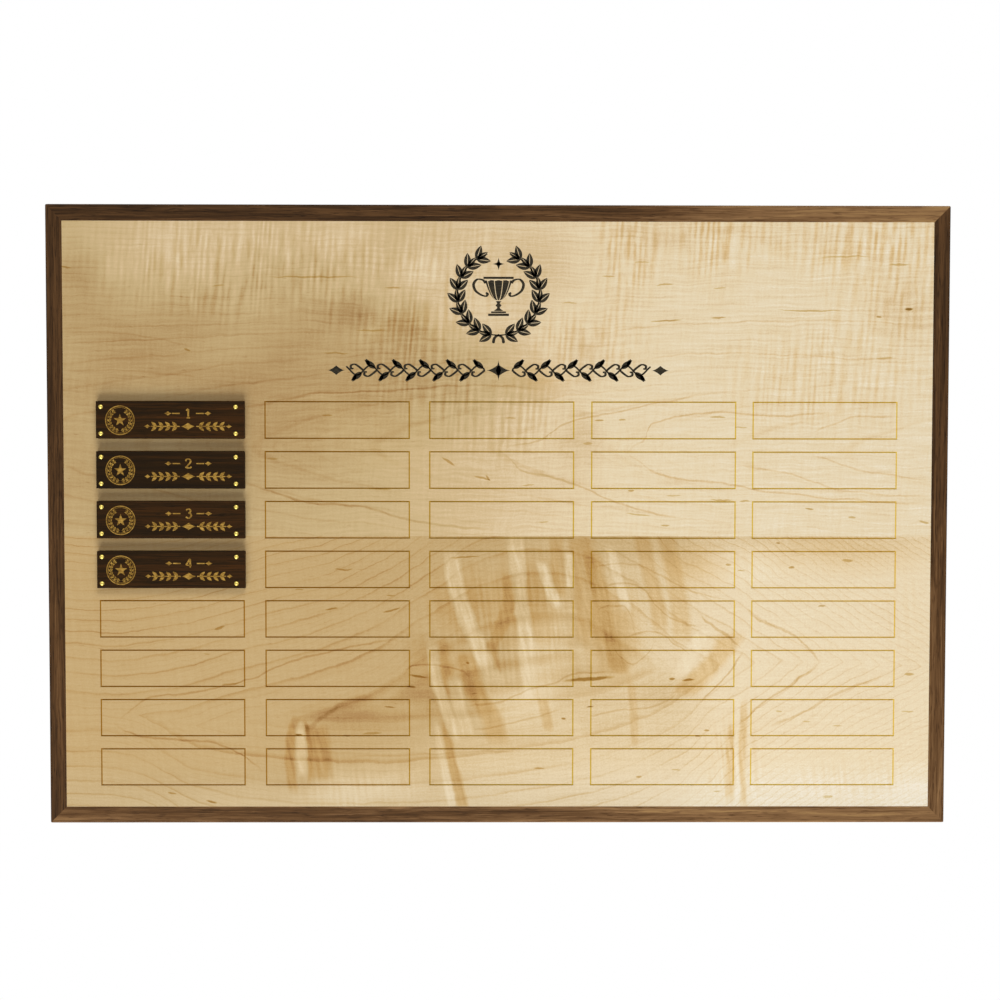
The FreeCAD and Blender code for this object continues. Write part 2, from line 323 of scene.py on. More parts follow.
def figured_maple(name, tones, rings, ring_sets, tone_and_light_along, shades, amber, curl_patches, flames, streaks,
                  lines, curl_lean, fibres):
    """Figured maple under clear satin lacquer: cream to tan, with thin growth lines, silky bars and flecks.
    The silky bars and flames are the curl's sheen, painted into the colour.

    Flames are bands drawn up the board and lines are drawn along it. Shades change the tone
    of whole patches, amber warms them, and streaks are mineral stains.
    """
    material, tree = new_material(name)
    x, y, z = add(tree, "SeparateXYZ", {0: plaque_point(tree)}).node.outputs
    plane = add(tree, "CombineXYZ", {0: x, 1: z})

    # slow drift of the grain, then a finer one, both in mm
    drift = add(tree, "TexNoise", {"Vector": plane, "Scale": 1 / 45, "Detail": 2.0}, out="Color")
    drift = add(tree, "VectorMath", {0: drift, 1: (0.5, 0.5, 0.5)}, operation="SUBTRACT")
    finer = add(tree, "TexNoise", {"Vector": plane, "Scale": 1 / 9, "Detail": 3.0}, out="Color")
    finer = add(tree, "VectorMath", {0: finer, 1: (0.5, 0.5, 0.5)}, operation="SUBTRACT")
    grain = add(tree, "VectorMath", {0: drift, 1: (16, 6, 0), 2: plane}, operation="MULTIPLY_ADD")
    grain = add(tree, "VectorMath", {0: finer, 1: (4, 2.4, 0), 2: grain}, operation="MULTIPLY_ADD")
    loose = add(tree, "VectorMath", {0: drift, 1: (9, 16, 0), 2: plane}, operation="MULTIPLY_ADD")
    grain_parts = add(tree, "SeparateXYZ", {0: grain}).node.outputs

    # tone along the board, partly the maple's own and partly painted light: darker to the left, and paler
    # to the right with painted sheen; then the larger light and dark parts of it, and the painted sheen that
    # pales the foot of the panel
    tone = hand_line(tree, x, tone_and_light_along)
    tone = marks(tree, loose, shades, 1.3, tone)
    # painted sheen: the foot of the panel is made paler and cooler, as if lit from below
    foot = add(tree, "MapRange", {0: z, 1: foot_sheen_reach[0], 2: foot_sheen_reach[1]})
    tone = add(tree, "Math", {0: foot, 1: foot_sheen_lift, 2: tone}, operation="MULTIPLY_ADD")

    # flames: long silky tongues across the grain, each drawn out into finer streaks; their light and dark
    # is the figure's sheen, painted into the colour
    tongue = add(tree, "VectorMath", {0: finer, 1: (2.0, 5, 0), 2: plane}, operation="MULTIPLY_ADD")
    tongue = add(tree, "VectorMath", {0: drift, 1: (4, 5, 0), 2: tongue}, operation="MULTIPLY_ADD")
    tongue_parts = add(tree, "SeparateXYZ", {0: tongue}).node.outputs
    flame = drawn_lines(tree, tongue_parts[1], tongue_parts[0], flames, 0.5)
    lean = add(tree, "Mapping", {"Vector": tongue, "Rotation": (0, 0, math.radians(flame_lean))})
    drawn = soft_noise(tree, lean, (4, 40, 1), 3.0, (0.32, 0.68, 0.35, 1.15))
    tone = add(tree, "Math", {0: flame, 1: drawn, 2: tone}, operation="MULTIPLY_ADD")

    # growth rings: wide bands with a thin late-wood line, and finer lines between
    value = rings(tree, grain_parts[0], grain_parts[1])
    stops = [(place, (level, level, level, 1)) for place, level in ring_profile]
    figure = 0.0
    for seed, (spacing_share, strength) in enumerate(ring_sets, 3):
        share = add(tree, "Math", {0: value, 1: 1 / spacing_share}, operation="MULTIPLY")
        share = add(tree, "Math", {0: share}, operation="FRACT")
        line = add(tree, "ValToRGB", {"Fac": share}, stops=stops)
        levels = (0.36, 0.66, -0.3 * strength, -strength)
        patchy = soft_noise(tree, plane, (70, 30, 1), 2.0, levels, seed=seed)
        figure = add(tree, "Math", {0: line, 1: patchy, 2: figure}, operation="MULTIPLY_ADD")
    figure = drawn_lines(tree, grain_parts[0], grain_parts[1], lines, 0.35, figure)
    tone = add(tree, "Math", {0: tone, 1: figure}, operation="ADD")

    # curl: silky bars across the grain, about 5 mm apart, smudged and in patches; their light and dark is a
    # painted sheen
    lean = add(tree, "Mapping", {"Vector": plane, "Rotation": (0, 0, math.radians(curl_lean))})
    sway = soft_noise(tree, lean, (26, 400, 1), 1.0, roughness=0.4)
    phase = add(tree, "SeparateXYZ", {0: lean})
    phase = add(tree, "Math", {0: phase, 1: 1 / bar_spacing}, operation="MULTIPLY")
    phase = add(tree, "Math", {0: sway, 1: 5.0, 2: phase}, operation="MULTIPLY_ADD")
    bars = add(tree, "Math", {0: phase, 1: 2 * math.pi}, operation="MULTIPLY")
    bars = add(tree, "Math", {0: bars}, operation="SINE")
    bars = add(tree, "MapRange", {0: bars, 1: -0.8, 2: 1.0, 3: -0.2, 4: 0.6})
    uneven = soft_noise(tree, lean, (7, 16, 1), 2.0, (0.36, 0.64, 0.3, 1.0))
    smudge = soft_noise(tree, lean, (3.6, 20, 1), 2.0, (0.36, 0.64, -0.2, 0.36))
    bars = add(tree, "Math", {0: bars, 1: uneven, 2: smudge}, operation="MULTIPLY_ADD")
    patches = marks(tree, loose, curl_patches, 1.5, 0.02)
    tone = add(tree, "Math", {0: bars, 1: patches, 2: tone}, operation="MULTIPLY_ADD")

    # fibre: short lines along and across the grain over a fine even grain, drawn coarse enough to show
    weave = 0.0
    for sizes, strength in zip(((34, 1.6, 1), (1.6, 20, 1), (1.1, 1.1, 1.1)), fibres):
        fibre = soft_noise(tree, grain, sizes, 2.0, (0.2, 0.8, -strength, strength))
        weave = add(tree, "Math", {0: weave, 1: fibre}, operation="ADD")
    louder = add(tree, "MapRange", {0: x, 1: -150.0, 2: 200.0, 3: 0.65, 4: 1.6})
    tone = add(tree, "Math", {0: weave, 1: louder, 2: tone}, operation="MULTIPLY_ADD")

    # flecks: sparse short dashes of darker cells along the grain, 2 to 5 mm long
    fleck = soft_noise(tree, grain, (7, 1.2, 1), 1.0, (0.70, 0.80, 0.0, -0.12))
    tone = add(tree, "Math", {0: tone, 1: fleck}, operation="ADD")

    face = add(tree, "ValToRGB", {"Fac": tone}, stops=tones)

    # amber: the darker flames and bars, the growth lines and whole patches lean to it
    glow = add(tree, "Math", {0: bars, 1: patches, 2: flame}, operation="MULTIPLY_ADD")
    glow = add(tree, "Math", {0: figure, 1: 0.5, 2: glow}, operation="MULTIPLY_ADD")
    glow = marks(tree, loose, amber, 1.3, glow)
    glow = add(tree, "MapRange", {0: glow, 1: 0.0, 2: -0.2})

    # mineral streaks: thin dashes of stain with a ragged edge
    ragged = add(tree, "VectorMath", {0: finer, 1: (3.5, 2.8, 0), 2: plane}, operation="MULTIPLY_ADD")
    mineral = marks(tree, ragged, streaks, 2.6)
    mineral = add(tree, "Math", {0: mineral, 1: stain_depth}, operation="MULTIPLY", use_clamp=True)
    stain = add(tree, "ValToRGB", {"Fac": mineral}, stops=stain_tones)

    # the cut outlines are scorched below the face
    depth = add(tree, "Math", {0: y, 1: board_front - plaque_middle.y / mm}, operation="SUBTRACT")
    cut = add(tree, "MapRange", {0: depth, 1: scorch_depths[0], 2: scorch_depths[1]})
    inside = add(tree, "Math", {0: depth, 1: deepest_cut}, operation="LESS_THAN")
    cut = add(tree, "Math", {0: cut, 1: inside}, operation="MULTIPLY")
    heat = add(tree, "MapRange", {0: x, 1: scorch_ends[0], 2: scorch_ends[1]})
    scorch = add(tree, "ValToRGB", {"Fac": heat}, stops=scorch_tones)

    # the foot's cool tint is painted sheen; the amber, the stain and the scorch are the wood's own
    for share, tint in ((glow, colour(flame_tint)), (foot, colour(foot_sheen_tint)), (1.0, stain), (cut, scorch)):
        face = add(tree, "Mix", {0: share, 6: face, 7: tint}, out=2, data_type="RGBA", blend_type="MULTIPLY")
    gloss = add(tree, "MapRange", {0: tone, 1: 0.0, 2: 1.0, 3: 0.62, 4: 0.5})
    return surfaced(material, face, gloss, (weave, 0.25, 0.1), specular=0.15)


def finish_node(node_name, material):
    """Gives a CAD node its one material."""
    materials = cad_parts[node_name].data.materials
    materials.clear()
    materials.append(material)


def upper_rings(tree, x, z):
    """Rings like arrowheads opening to the right, about a low axis, which run level further above it."""
    axis_slope, axis_height, ring_width = -0.01, 46.0, 80.0
    axis = add(tree, "Math", {0: x, 1: axis_slope, 2: axis_height}, operation="MULTIPLY_ADD")
    rise = add(tree, "Math", {0: z, 1: axis}, operation="SUBTRACT")
    square = add(tree, "Math", {0: rise, 1: rise}, operation="MULTIPLY")
    far = add(tree, "Math", {0: rise}, operation="ABSOLUTE")
    levels = {0: far, 1: 25.0, 2: 110.0, 3: 1.0, 4: 0.12}
    fade = add(tree, "MapRange", levels, interpolation_type="SMOOTHSTEP")
    along = add(tree, "Math", {0: x, 1: fade}, operation="MULTIPLY")
    value = add(tree, "Math", {0: square, 1: -1 / 13, 2: along}, operation="MULTIPLY_ADD")
    value = add(tree, "Math", {0: far, 1: -0.8, 2: value}, operation="MULTIPLY_ADD")
    return add(tree, "Math", {0: value, 1: 1 / ring_width}, operation="MULTIPLY")


def lower_rings(tree, x, z):
    """Rings like a long lens: one line bounds it above and one below, and they close up further out."""
    above = hand_line(tree, x, [
        (-300, -134), (-252, -136), (-170, -118), (-100, -98), (-40, -62), (0, -42), (40, -38),
        (80, -54), (130, -88), (165, -108), (215, -144), (300, -196),
    ])
    below = hand_line(tree, x, [
        (-300, -132), (-252, -134), (-200, -158), (-120, -168), (-40, -166), (20, -158), (90, -142),
        (160, -94), (220, -52), (300, -8),
    ])
    over = add(tree, "Math", {0: z, 1: above}, operation="SUBTRACT")
    under = add(tree, "Math", {0: below, 1: z}, operation="SUBTRACT")
    value = add(tree, "Math", {0: over, 1: under, 2: 3.0}, operation="SMOOTH_MAX")
    crowd = add(tree, "Math", {0: value, 1: 1 / 1700.0, 2: 1 / 19.0}, operation="MULTIPLY_ADD")
    return add(tree, "Math", {0: value, 1: crowd}, operation="MULTIPLY")


upper_maple = figured_maple(
    "lacquered_curly_maple_upper",
    upper_tones,
    upper_rings,
    ring_sets=((1.0, 0.09), (0.27, 0.035)),
    # the tone along this board is partly the maple's own and partly painted light, darker to the left
    tone_and_light_along=[(-300, 0.36), (-220, 0.40), (-110, 0.40), (-50, 0.50), (20, 0.66), (120, 0.76), (300, 0.80)],
    shades=[
        (-190, 110, 170, 60, -0.20), (-93, 143, 20, 16, -0.12), (-62, 132, 26, 20, -0.18),
        (-140, 60, 90, 44, -0.12), (10, 90, 60, 60, -0.08), (-200, 190, 130, 36, 0.10),
        (40, 120, 40, 34, 0.06), (190, 196, 130, 20, -0.05), (-285, 100, 40, 120, -0.06),
        (-39, 88, 80, 52, -0.23), (-150, 20, 250, 60, -0.14), (275, 140, 34, 30, -0.12),
        (-165, 130, 36, 30, 0.06), (57, 110, 24, 30, -0.10), (57, 50, 20, 24, -0.12),
        (-290, 110, 40, 30, 0.08), (-160, 170, 60, 24, -0.07), (25, 170, 40, 40, -0.12),
        (-52, 116, 20, 14, -0.05), (-107, 138, 26, 16, -0.12), (-52, 168, 22, 16, 0.12),
        (-283, 165, 22, 24, -0.10), (-105, 25, 105, 75, 0.10), (-190, 112, 50, 20, 0.07),
        (-105, 188, 36, 20, 0.10), (110, 190, 36, 14, -0.09), (24, 88, 24, 14, -0.08),
    ],
    amber=[(-60, 128, 40, 20, -0.10), (24, 92, 30, 16, -0.10), (-90, 60, 80, 40, -0.04)],
    curl_patches=[
        (-180, 172, 110, 44, 0.24), (-60, 156, 90, 54, 0.16), (86, 180, 30, 50, -0.22),
        (147, 184, 30, 48, -0.16), (266, 168, 70, 60, -0.20), (222, 94, 100, 50, -0.16),
        (-50, 98, 50, 40, 0.14), (0, 66, 50, 34, 0.18), (191, 189, 130, 30, -0.14), (60, 118, 60, 36, -0.16),
    ],
    flames=[],
    streaks=[
        (-124, 161, 33.25, 0.75, 0.4), (210, 139, 22.8, 0.61, 0.54), (113, 132, 11.4, 0.68, 0.62, 3),
        (74, 162, 4.75, 0.61, 0.4), (97, 171, 5.7, 0.54, 0.47, 3), (112, 156, 6.65, 0.61, 0.54, 3),
        (149, 154, 4.75, 0.54, 0.4), (148, 134, 5.7, 0.61, 0.62, 3), (233, 175, 19, 0.61, 0.4, 2),
        (270, 170, 7.6, 0.82, 0.48), (-110, 110, 9.5, 0.68, 0.54), (-86, 125, 11.4, 0.68, 0.42),
        (48, 144, 5.7, 0.54, 0.4), (-71, 154, 5.7, 0.68, 0.45), (-291, 167, 4.75, 0.68, 0.48, -5),
        (-188, 155, 4.75, 0.54, 0.32), (-210, 112, 2.85, 0.82, 0.56, -20), (277, 140, 2.85, 1.1, 0.9),
        (257, 135, 2.09, 0.82, 0.63), (211, 5, 3.32, 0.68, 0.62, -8), (240, -1, 2.85, 0.82, 0.52),
        (68, 65, 3.32, 0.75, 0.6), (84, 65, 2.85, 0.68, 0.57), (148, 67, 5.7, 0.68, 0.54),
        (164, 60, 4.75, 0.54, 0.4), (60, 49, 3.8, 0.88, 0.4), (90, 17, 2.38, 0.88, 0.6),
        (119, 14, 5.7, 0.54, 0.4), (151, 11, 8.55, 0.68, 0.5), (167, 10, 4.27, 0.68, 0.56),
        (113, -6, 3.8, 0.68, 0.56), (95, 1, 9.5, 0.68, 0.4, -5), (31, -4, 3.8, 0.54, 0.4),
        (289, -4, 3.8, 0.88, 0.48, -10), (261, 107, 6.65, 0.68, 0.4), (20, 21, 4.75, 0.54, 0.4),
        (-7, 26, 2.85, 0.82, 0.56, -50), (8, 66, 3.8, 0.54, 0.4), (-116, 68, 3.8, 0.68, 0.54),
        (-34, 37, 5.7, 0.95, 0.56, -35), (-11, 26, 6.65, 0.82, 0.5, -15), (-80, 18, 8.55, 0.68, 0.4),
        (-153, 39, 4.75, 0.82, 0.32),
    ],
    lines=[
        (-0.16, 0.9, [
            (3, 45), (15, 48), (29, 51), (34, 56), (40, 61), (56, 66), (76, 70), (103, 75), (137, 83),
        ]),
        (-0.16, 0.9, [
            (3, 43), (10, 37), (18, 30), (32, 28), (46, 24), (62, 18), (76, 11), (96, 4), (123, 0),
        ]),
        (-0.18, 0.9, [
            (86, 43), (91, 47), (100, 53), (103, 58), (111, 64), (123, 68), (144, 70), (178, 68), (225, 71),
        ]),
        (-0.18, 0.9, [
            (86, 43), (96, 37), (103, 31), (117, 27), (137, 24), (161, 22), (172, 18), (205, 14), (290, 8),
        ]),
        (-0.14, 0.9, [(161, 35), (205, 26), (218, 22), (232, 18), (293, 13)]),
        (-0.14, 0.9, [(210, 56), (217, 60), (225, 62), (245, 67), (268, 68)]),
        (-0.12, 0.9, [(208, 42), (225, 38), (245, 32), (266, 28), (293, 24)]),
        (-0.14, 1.1, [(-175, 23), (-154, 16), (-127, 10), (-100, 7), (-66, -1), (-39, -6), (2, -9)]),
        (-0.05, 0.9, [(-296, 123), (-269, 124), (-242, 122), (-222, 118), (-206, 113)]),
        (-0.05, 0.9, [(-296, 97), (-262, 98), (-228, 97), (-200, 93)]),
        (-0.12, 0.9, [(-140, 81), (-114, 83), (-66, 85), (-25, 88), (30, 86)]),
        (-0.05, 0.8, [(-240, 151), (-190, 147), (-130, 145), (-80, 143)]),
        (-0.04, 0.8, [(-250, 142), (-200, 138), (-140, 136), (-60, 136)]),
        (-0.10, 0.8, [(60, 122), (104, 128), (150, 131), (200, 132), (290, 130)]),
        (-0.10, 0.8, [(90, 104), (140, 109), (190, 110), (250, 107), (290, 108)]),
    ],
    curl_lean=4.0,
    fibres=(0.09, 0.03, 0.05),
)
lower_maple = figured_maple(
    "lacquered_flamed_maple_lower",
    lower_tones,
    lower_rings,
    ring_sets=((1.0, 0.17), (0.29, 0.065), (0.13, 0.04)),
    # the tone along this board is partly the maple's own and partly painted light, darker to the left
    tone_and_light_along=[
        (-300, 0.33), (-150, 0.34), (-60, 0.34), (10, 0.40), (60, 0.52), (120, 0.68), (180, 0.80),
        (300, 0.80),
    ],
    shades=[
        (140, -12, 210, 24, -0.20), (95, -34, 75, 36, -0.06), (-104, -138, 46, 14, -0.10),
        (24, -135, 60, 26, 0.12), (-240, -60, 70, 40, -0.02), (200, -185, 140, 24, 0.10),
        (-130, -196, 160, 18, 0.10), (-120, -45, 120, 30, -0.02), (29, -98, 26, 40, 0.16),
        (10, -176, 110, 40, 0.20), (-90, -184, 46, 18, 0.16), (120, -130, 30, 30, -0.06),
        (285, -190, 30, 30, 0.08), (10, -124, 34, 24, 0.14), (170, -30, 50, 20, 0.08),
        (40, -20, 40, 16, 0.08), (-290, -190, 60, 40, 0.03), (-110, -192, 40, 14, 0.04),
        (-52, -120, 20, 16, -0.10), (-50, -92, 18, 16, -0.08), (110, -120, 22, 14, -0.10),
        (235, -24, 80, 22, -0.08), (20, -52, 26, 34, -0.13), (-22, -58, 24, 22, -0.08),
        (-20, -99, 24, 14, 0.14), (18, -112, 12, 12, -0.08), (80, -82, 18, 34, -0.15),
        (134, -32, 24, 14, -0.08),
    ],
    amber=[
        (235, -24, 80, 22, -0.10), (18, -56, 32, 40, -0.18), (-24, -56, 30, 34, -0.16),
        (80, -78, 22, 40, -0.15), (134, -34, 30, 18, -0.12), (-46, -104, 22, 22, -0.08),
    ],
    curl_patches=[
        (20, -70, 80, 60, 0.07), (160, -165, 30, 44, -0.12), (240, -180, 70, 24, -0.08),
        (-100, -182, 50, 22, 0.05), (275, -70, 20, 60, -0.06),
    ],
    flames=[
        (0.26, 7.0, [
            (-119, 0), (-106, -5), (-96, -10), (-85, -15), (-72, -21), (-58, -26), (-40, -30), (-20, -31),
        ]),
        (-0.15, 6.0, [(-120, -1), (-102, -4), (-92, -5), (-82, -1), (-68, 4), (-54, 8), (-36, 8)]),
        (0.24, 6.4, [(-126, 22), (-92, 20), (-72, 17), (-52, 14), (-31, 13), (-8, 12)]),
        (0.28, 4.6, [(-64, 40), (-52, 36), (-41, 32), (-30, 29)]),
        (0.25, 3.4, [(-50, 48), (-40, 49), (-24, 48)]),
        (-0.12, 6.0, [(-58, 42), (-45, 41), (-12, 39)]),
        (-0.14, 11.0, [(-90, 60), (-78, 60), (-58, 58), (-8, 56)]),
        (-0.18, 7.0, [(-88, 75), (-75, 73), (-58, 71), (-41, 67), (-22, 63)]),
        (0.20, 4.0, [(-66, 88), (-52, 84), (-38, 80), (-20, 75)]),
        (-0.13, 7.0, [(-82, 112), (-72, 110), (-58, 108), (-41, 103), (-24, 99), (-8, 95)]),
        (-0.12, 8.0, [(-88, 126), (-58, 123), (-31, 118), (-8, 112)]),
        (-0.18, 11.0, [(-124, 126), (-116, 131), (-108, 138), (-98, 147), (-88, 155), (-78, 160)]),
        (0.11, 6.0, [(-112, 122), (-104, 126), (-96, 130), (-84, 136), (-76, 142)]),
        (-0.12, 6.0, [(-126, -29), (-119, -32), (-106, -36), (-92, -38), (-82, -38)]),
        (0.25, 5.0, [(-156, -29), (-146, -31), (-129, -37), (-112, -42), (-92, -44), (-84, -45)]),
        (-0.16, 9.0, [(-158, 2), (-150, -1), (-136, -5), (-126, -12), (-112, -19), (-99, -22), (-88, -24)]),
        (0.20, 6.0, [(-152, -20), (-146, -22), (-136, -25), (-119, -29), (-108, -31)]),
        (-0.20, 4.6, [(-204, -23), (-180, -28), (-167, -32), (-150, -35), (-138, -38)]),
        (0.16, 3.6, [(-200, -31), (-173, -36), (-156, -39), (-140, -41)]),
        (0.20, 4.4, [(-178, -133), (-160, -134), (-146, -135), (-140, -136)]),
        (-0.17, 4.4, [(-190, -139), (-177, -141), (-160, -142), (-146, -140), (-136, -136)]),
        (-0.15, 10.0, [(-182, -121), (-173, -121), (-156, -122), (-142, -124)]),
        (-0.12, 2.0, [(-186, -129), (-168, -128), (-150, -129), (-138, -134)]),
        (-0.14, 4.0, [(-196, 158), (-187, 158), (-153, 159), (-140, 160)]),
        (0.09, 2.6, [(-200, 164), (-126, 163), (-118, 163)]),
        (-0.14, 3.4, [(-204, 167), (-133, 167), (-122, 165)]),
        (-0.12, 4.6, [(-148, 34), (-136, 32), (-124, 30)]),
        (-0.10, 3.6, [(-160, 93), (-126, 92), (-110, 90)]),
        (-0.10, 3.0, [(-126, 26), (-119, 25), (-92, 22)]),
        (-0.14, 7.0, [(-108, 84), (-99, 81), (-85, 77), (-78, 76)]),
    ],
    streaks=[
        (62, -111, 19, 1.63, 0.72, 4), (129, -112, 4.75, 0.95, 0.72, 4), (118, -111, 2.09, 1.02, 0.7),
        (-54, -109, 7.6, 0.95, 0.7, -8), (-59, -116, 3.8, 0.82, 0.74), (-189, -76, 4.27, 1.09, 0.56, 15),
        (-198, -94, 2.85, 0.54, 0.24), (-181, -114, 7.6, 0.68, 0.5, 8), (-105, -36, 6.65, 0.68, 0.6),
        (-135, -50, 3.8, 0.61, 0.4), (-113, -63, 5.22, 0.75, 0.64, 8), (-72, -64, 6.65, 0.82, 0.62, 15),
        (-73, -54, 3.32, 0.68, 0.4), (-74, -130, 4.27, 0.68, 0.68), (-136, -149, 3.32, 0.82, 0.76),
        (-86, -148, 7.12, 0.88, 0.46, 6), (-103, -150, 3.32, 0.68, 0.56),
        (-222, -189, 3.32, 0.68, 0.56, -10), (-195, -195, 3.8, 0.82, 0.68, -15),
        (-21, -100, 1.42, 1.09, 0.66), (-23, -28, 11.4, 0.68, 0.56, 4), (237, -30, 3.8, 1.02, 0.56, -8),
        (199, -35, 2.38, 0.95, 0.62), (156, -33, 1.9, 1.02, 0.56), (165, -37, 2.85, 0.61, 0.48),
        (220, -61, 2.85, 0.61, 0.66), (190, -18, 1.9, 0.68, 0.7), (280, -108, 3.8, 1.09, 0.56),
        (44, -138, 2.09, 0.88, 0.7), (63, -130, 2.85, 0.54, 0.76), (142, -146, 2.09, 0.82, 0.62),
        (136, -150, 2.38, 0.61, 0.67), (210, -140, 3.32, 0.68, 0.32), (231, -143, 3.8, 0.54, 0.32),
        (191, -133, 2.38, 0.68, 0.32), (96, -178, 2.38, 0.68, 0.56), (28, -172, 3.8, 0.68, 0.56),
        (121, -173, 3.8, 0.54, 0.32), (225, -192, 3.8, 1.09, 0.32), (279, -133, 4.75, 0.68, 0.32),
        (149, -188, 2.85, 0.54, 0.48),
    ],
    lines=[
        (-0.22, 1.4, [(137, -65), (145, -73), (159, -82), (164, -87), (166, -92)]),
        (-0.22, 1.4, [(140, -126), (145, -119), (154, -109), (163, -97), (166, -92)]),
        (-0.19, 1.4, [(171, -63), (181, -72), (198, -79), (208, -89), (218, -97), (221, -101)]),
        (-0.19, 1.4, [(161, -145), (172, -134), (184, -123), (198, -114), (215, -105), (221, -101)]),
        (-0.17, 1.4, [(184, -144), (205, -134), (225, -124), (245, -116), (258, -110), (262, -102)]),
        (-0.14, 1.0, [
            (-262, -142), (-250, -133), (-236, -124), (-202, -119), (-175, -113), (-134, -97), (-66, -84),
        ]),
        (-0.14, 1.0, [(-262, -142), (-250, -148), (-240, -151), (-195, -154), (-175, -164), (-160, -176)]),
        (-0.09, 2.8, [(-142, -143), (-130, -145), (-119, -139), (-110, -132), (-100, -126), (-82, -124)]),
        (-0.08, 1.0, [(-104, -165), (-80, -163), (-59, -163), (-19, -161), (20, -160)]),
        (-0.14, 1.0, [(-25, -128), (-6, -128), (14, -120), (34, -116), (60, -106), (84, -106)]),
        (-0.12, 0.8, [(68, -64), (83, -61), (90, -68), (95, -84), (97, -88)]),
        (-0.12, 0.8, [(76, -86), (84, -96), (91, -100), (100, -95), (106, -86), (108, -80)]),
        (-0.12, 0.9, [(60, -137), (80, -133), (101, -131), (119, -124), (125, -114)]),
        (-0.14, 0.9, [(70, -50), (84, -46), (98, -50), (110, -62), (122, -70), (140, -74)]),
        (-0.14, 0.9, [(86, -82), (104, -78), (122, -86), (134, -96)]),
        (-0.12, 0.9, [(60, -36), (84, -33), (108, -40), (130, -50), (156, -56)]),
        (-0.14, 0.9, [(-64, -110), (-48, -102), (-34, -104), (-22, -110)]),
        (-0.12, 0.9, [(-20, -146), (0, -143), (24, -137), (44, -132)]),
    ],
    curl_lean=-6.0,
    fibres=(0.045, 0.012, 0.065),
)
finish_node("maple_board_upper", upper_maple)
finish_node("maple_board_lower", lower_maple)

# Walnut edging
# Four walnut strips, tongued and glued round the panel, mitred at the corners, eased, and satin lacquered.
# The grain runs along each strip, with fine open pores, and the tone drifts from one end to the other,
# partly the walnut's own and partly painted light and shade.
walnut_tones = [
    (0.00, "1d1209"), (0.25, "3c2917"), (0.50, "5b4026"), (0.75, "826240"), (1.00, "a98757"),
]
# tones along each strip, partly the walnut's own and partly painted light and shade, at places in mm from
# the plaque's middle, and whether it stands upright
edge_strips = {
    "edge_strip_top": ([(-305, 0.35), (-120, 0.32), (80, 0.50), (190, 0.72), (305, 0.84)], False),
    "edge_strip_bottom": ([(-305, 0.60), (-100, 0.50), (40, 0.64), (180, 0.70), (305, 0.68)], False),
    "edge_strip_left": ([(-210, 0.36), (-90, 0.37), (60, 0.36), (210, 0.34)], True),
    "edge_strip_right": ([(-210, 0.65), (-130, 0.56), (40, 0.38), (130, 0.29), (210, 0.55)], True),
}


def walnut(name, tone_and_light_along, upright, tones, shine):
    """Open-grained walnut under satin lacquer: streaks along the grain, short dark pores, a soft shine."""
    material, tree = new_material(name)
    x, y, z = add(tree, "SeparateXYZ", {0: plaque_point(tree)}).node.outputs
    along, over = (z, x) if upright else (x, z)
    grain = add(tree, "CombineXYZ", {0: along, 1: over, 2: y})
    wander = soft_noise(tree, grain, (50, 14, 14), 2.0).node.outputs["Color"]
    wander = add(tree, "VectorMath", {0: wander, 1: (0.5, 0.5, 0.5)}, operation="SUBTRACT")
    grain = add(tree, "VectorMath", {0: wander, 1: (8, 3.5, 3.5), 2: grain}, operation="MULTIPLY_ADD")

    # growth bands 4 mm wide, and finer streaks drawn 1 mm wide so that they show
    # the tone along an edge strip holds painted light and shade as well as the walnut's own; a plate's is
    # its own
    tone = hand_line(tree, along, tone_and_light_along)
    for sizes, strength in (((150, 4, 4), 0.20), ((45, 1, 1), 0.17)):
        streak = soft_noise(tree, grain, sizes, 3.0, (0.25, 0.75, -strength, strength), 0.6)
        tone = add(tree, "Math", {0: tone, 1: streak}, operation="ADD")

    # pores: open dashes 3 to 8 mm long that hold a little stain
    pore = soft_noise(tree, grain, (9, 0.8, 0.8), 1.0, (0.58, 0.70, 0.0, 1.0))
    tone = add(tree, "Math", {0: pore, 1: -0.16, 2: tone}, operation="MULTIPLY_ADD")
    face = add(tree, "ValToRGB", {"Fac": tone}, stops=tones)

    low = add(tree, "Math", {0: pore, 1: -1.0}, operation="MULTIPLY")
    gloss = add(tree, "MapRange", {0: pore, 3: shine, 4: shine + 0.2})
    return surfaced(material, face, gloss, (low, 0.3, 0.15), specular=0.07)


for node_name, (tone_and_light_along, upright) in edge_strips.items():
    lacquered = walnut("lacquered_walnut_" + node_name, tone_and_light_along, upright, walnut_tones, shine=0.45)
    finish_node(node_name, lacquered)

# Beech biscuits
# Four pressed beech biscuits hide in the glue joint between the boards and swell with the glue.
# They are pale pink-brown, with the short dark rays that mark beech, and are never lacquered.
beech_tones = [(0.0, "8d6a48"), (0.4, "b58f67"), (0.7, "cba981"), (1.0, "dcc29f")]


def pressed_beech():
    """Bare pressed beech: a fine even grain with short dark rays, and a dull, slightly furry surface."""
    material, tree = new_material("pressed_beech")
    point = plaque_point(tree)
    grain = soft_noise(tree, point, (14, 1.4, 1.4), 3.0)
    ray = soft_noise(tree, point, (3, 0.6, 0.6), 0.0, (0.66, 0.74, 0.0, -0.35))
    tone = add(tree, "Math", {0: grain, 1: ray}, operation="ADD")
    face = add(tree, "ValToRGB", {"Fac": tone}, stops=beech_tones)
    return surfaced(material, face, 0.8, (grain, 0.3, 0.1), specular=0.2)


finish_node("board_biscuits", pressed_beech())

